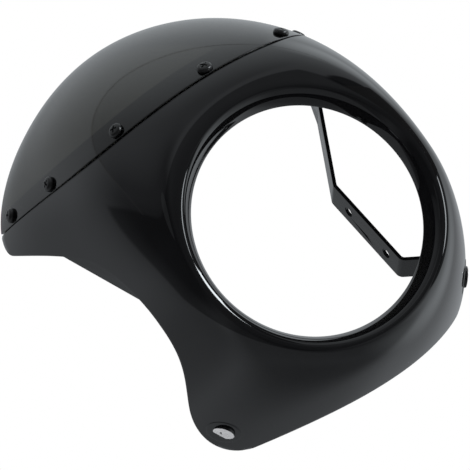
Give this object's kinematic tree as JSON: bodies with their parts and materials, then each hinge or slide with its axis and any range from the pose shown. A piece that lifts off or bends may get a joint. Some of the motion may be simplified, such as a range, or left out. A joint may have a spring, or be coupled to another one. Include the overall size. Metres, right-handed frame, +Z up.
{
  "type": "motorcycle headlight cowl",
  "caption": "Gloss black headlight cowl with a rolled round lamp opening, swept wings and ears, a dark smoke windscreen screwed on above the seam, and flat steel side brackets.",
  "frame": {"origin": "on the headlight axis, in the plane of the nose ring, the foremost plane of the cowl", "axes": "+X across, to the rider's right; +Y along the headlight axis from the nose to the rear; +Z up"},
  "size_m": [0.3062, 0.234, 0.3542],
  "materials": {
    "shell_gloss": "black gelcoat, polished",
    "screen_smoke": "dark smoke acrylic, polished",
    "screw_black": "black coated",
    "nut_zinc": "zinc plated",
    "bracket_black": "satin black powder coat",
    "bolt_chrome": "chrome plated"
  },
  "bodies": {
    "root": {"cowl_shell": "shell_gloss", "windscreen": "screen_smoke", "screen_screws": "screw_black", "screen_nuts": "nut_zinc", "left_bracket": "bracket_black", "right_bracket": "bracket_black", "ear_bolts": "bolt_chrome", "ear_nuts": "nut_zinc"}
  },
  "joints": []
}
